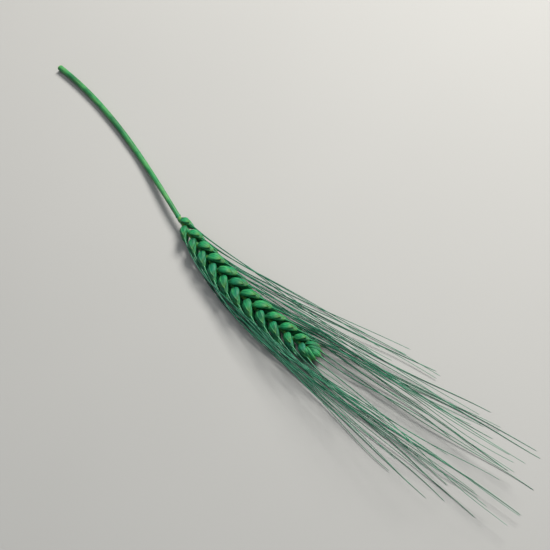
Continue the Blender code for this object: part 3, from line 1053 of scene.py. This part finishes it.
class WHEATEAR_OT_add_rachis(bpy.types.Operator):
    """Adds the ear's zigzag stem, with a collar at its foot and hairs under the spikelets."""

    bl_idname = "wheatear.add_rachis"
    bl_label = "Add Rachis"

    def execute(self, context):
        stations = [(Vector((x * MM, 0, 0)), w * MM, d * MM) for x, w, d in COLLAR_RINGS]
        for i in range(SPIKELETS):
            node, hand = spikelet_node(i)
            narrow = 1 - RACHIS_NARROWS * i / SPIKELETS
            for back, shift, w, d in NODE_RINGS:
                place = Vector((node - back * NODE_SPACING, hand * shift * MM, 0))
                stations.append((place, w * narrow * MM, d * narrow * MM))
        rachis = start_ring("rachis", RACHIS_SIDES, *stations[0])
        bpy.ops.mesh.edge_face_add()
        grow(stations)
        bpy.ops.mesh.edge_face_add()
        face_outwards(rachis)
        smooth_below(RACHIS_ANGLE)
        end = max(vertex.co.x for vertex in rachis.data.vertices)
        count = round(end / RACHIS_GUIDE_STEP)
        bend_along(rachis, [on_line(end * i / count) for i in range(count + 1)])
        tufts = self.tufts(context.scene.ear_sizes.tuft_hairs)
        rachis = join([rachis, *tufts], "rachis")
        rachis.data.materials.append(material("dyed rachis", rachis_finish))
        settle(rachis, "ear")
        return {"FINISHED"}

    def tufts(self, hairs):
        """Short hairs that stand out from under each spikelet, over and under its foot."""
        tufts = []
        for i in range(SPIKELETS):
            s, hand = spikelet_node(i)
            forward, left, up = line_axes(s)
            outward = hand * left
            for hair in range(hairs):
                chance = random.Random(SEED + HAIR_SEEDS_APART * i + hair)
                turn = math.tau * hair / hairs + chance.uniform(-HAIR_TURNS, HAIR_TURNS)
                away = (outward * math.cos(turn) * TUFT_WIDTH + up * math.sin(turn)).normalized()
                direction = forward * chance.uniform(*HAIR_LEANS) + away + outward * TUFT_OUTWARDS
                direction.normalize()
                length = chance.uniform(*HAIR_LENGTHS) * MM
                foot = on_line(s - HAIR_BACK) + away * HAIR_OUT
                free_selection()
                bpy.ops.mesh.primitive_cone_add(
                    vertices=3, radius1=HAIR_RADIUS, radius2=0, depth=length,
                    end_fill_type="TRIFAN", location=foot + direction * length / 2,
                    rotation=direction.to_track_quat("Z", "Y").to_euler())
                tufts.append(bpy.context.object)
        return tufts


class WHEATEAR_OT_add_spikelets(bpy.types.Operator):
    """Adds every spikelet: two glumes, its florets' husks and their awns."""

    bl_idname = "wheatear.add_spikelets"
    bl_label = "Add Spikelets"

    def execute(self, context):
        sizes = context.scene.ear_sizes
        masters = {
            "lemma": [lemma_master(sizes, share) for share in LEMMA_WIDTHS],
            "glume": [glume_master(sizes, hand) for hand in (1, -1)],
            "palea": [palea_master()],
            "awn": [awn_master(sizes)],
        }
        finishes = {
            "lemma": ("dyed husk", husk_finish),
            "glume": ("dyed husk", husk_finish),
            "palea": ("dyed palea", palea_finish),
            "awn": ("dyed awn", awn_finish),
        }
        for kind, finish in finishes.items():
            for master in masters[kind]:
                master.data.materials.append(material(*finish))
        for i, husks in enumerate(all_spikelets()):
            self.spikelet(f"spikelet_{i + 1:02d}", husks, masters, sizes)
        for group in masters.values():
            for master in group:
                bpy.data.objects.remove(master)
        return {"FINISHED"}

    def spikelet(self, name, husks, masters, sizes):
        """One spikelet: copies of the master husks in their places, and their awns."""
        shells, awns = [], []
        for husk in husks:
            number = husk["number"]
            # Painted light: the row facing the key lamp gets a lighter tone and the other a darker
            # one; the kind adds its own tone
            shade = PAINTED_LIGHT_BY_ROW if husk["outward"].y > 0 else -PAINTED_LIGHT_BY_ROW
            shade += TONE_OF_KIND if husk["kind"] == GLUME else -TONE_OF_KIND
            tone = self.tone(shade, spread(number, TONE_DRAW, TONE_SPREAD))
            if husk["kind"] == GLUME:
                matrix = husk_matrix(husk, GLUME_ROW)
                keel_inside = matrix.col[1].to_3d().dot(husk["outward"]) > 0
                matrix = Matrix.Translation(husk["out"] * GLUME_STANDS_OFF) @ matrix
                shells.append(copy_of(masters["glume"][0 if keel_inside else 1], matrix, tone))
                continue
            matrix = husk_matrix(husk, FLORET_ROW)
            shells.append(copy_of(masters["lemma"][number % 2], matrix, tone))
            shells.append(copy_of(masters["palea"][0], matrix, tone))
            awns.append(self.awn(husk, masters["awn"][0]))
        body = join(shells, name)
        crease(body, sizes.crease_depth)
        settle(join([body, *awns], name), "ear")

    def awn(self, husk, master):
        """A husk's awn, with its own roll and shade."""
        number = husk["number"]
        roll = Matrix.Rotation(spread(number, AWN_ROLL_DRAW, math.pi), 4, "X")
        awn = copy_of(master, roll, self.tone(0, spread(number, AWN_TONE_DRAW, AWN_TONE_SPREAD)))
        pick(awn)
        bpy.ops.object.transform_apply(location=True, rotation=True, scale=True)
        bend_along(awn, awn_line(husk))
        return awn

    def tone(self, shade, chance):
        """A tone from 0 to 1, off the middle by a shade (a husk row's painted light and its kind's
        tone) and by chance.
        """
        return min(1.0, max(0.0, MIDDLE_TONE + shade + chance))


class WHEATEAR_OT_add_stage(bpy.types.Operator):
    """Adds the floor, the soft lights and the camera."""

    bl_idname = "wheatear.add_stage"
    bl_label = "Add Stage"

    def execute(self, context):
        scene = context.scene
        free_selection()
        bpy.ops.mesh.primitive_plane_add(size=FLOOR_SIZE, location=(0, 0, -FLOOR_DROP))
        floor = context.object
        floor.name = "floor"
        bpy.ops.object.transform_apply(location=True, rotation=False, scale=False)
        floor.data.materials.append(material("pale floor", floor_finish))

        for name, settings in LAMPS.items():
            self.lamp(name, *settings)
        world = bpy.data.worlds.new("studio")
        world.use_nodes = True
        background = world.node_tree.nodes["Background"]
        background.inputs["Color"].default_value = STUDIO_COLOUR
        background.inputs["Strength"].default_value = STUDIO_STRENGTH
        scene.world = world
        scene.view_settings.view_transform = "Standard"

        level = math.cos(CAMERA_ELEVATION)
        direction = Vector((math.sin(CAMERA_AZIMUTH) * level, -math.cos(CAMERA_AZIMUTH) * level,
                            math.sin(CAMERA_ELEVATION)))
        bpy.ops.object.camera_add(location=TARGET + direction * CAMERA_DISTANCE)
        camera = context.object
        camera.name = "camera"
        facing = (-direction).to_track_quat("-Z", "Y")
        camera.rotation_euler = (facing @ Quaternion((0, 0, 1), CAMERA_ROLL)).to_euler()
        camera.data.lens = CAMERA_LENS
        camera.data.clip_start = CAMERA_NEAR
        camera.data.dof.use_dof = False
        scene.camera = camera
        return {"FINISHED"}

    def lamp(self, name, place, size, power, colour):
        """A square soft light that faces the ear."""
        place = Vector(place)
        free_selection()
        bpy.ops.object.light_add(type="AREA", location=place)
        lamp = bpy.context.object
        lamp.name = name
        lamp.rotation_euler = (TARGET - place).to_track_quat("-Z", "Y").to_euler()
        lamp.data.size = size
        lamp.data.energy = power
        lamp.data.color = colour


class WHEATEAR_PT_panel(bpy.types.Panel):
    """Lists the ear's sizes, colours and pieces."""

    bl_label = "Wheat Ear"
    bl_idname = "WHEATEAR_PT_panel"
    bl_space_type = "VIEW_3D"
    bl_region_type = "UI"
    bl_category = "Wheat Ear"

    def draw(self, context):
        layout = self.layout
        for group in (context.scene.ear_sizes, context.scene.ear_colours):
            column = layout.column()
            for name in group.__annotations__:
                column.prop(group, name)
        for operator in OPERATORS:
            layout.operator(operator.bl_idname)


OPERATORS = (
    WHEATEAR_OT_add_straw,
    WHEATEAR_OT_add_rachis,
    WHEATEAR_OT_add_spikelets,
    WHEATEAR_OT_add_stage,
)
CLASSES = (EarSizes, EarColours) + OPERATORS + (WHEATEAR_PT_panel,)


def register():
    for kind in CLASSES:
        bpy.utils.register_class(kind)
    bpy.types.Scene.ear_sizes = PointerProperty(type=EarSizes)
    bpy.types.Scene.ear_colours = PointerProperty(type=EarColours)


def unregister():
    del bpy.types.Scene.ear_colours
    del bpy.types.Scene.ear_sizes
    for kind in reversed(CLASSES):
        bpy.utils.unregister_class(kind)


def main():
    register()
    bpy.ops.wheatear.add_straw()
    bpy.ops.wheatear.add_rachis()
    bpy.ops.wheatear.add_spikelets()
    bpy.ops.wheatear.add_stage()


if __name__ == "__main__":
    main()
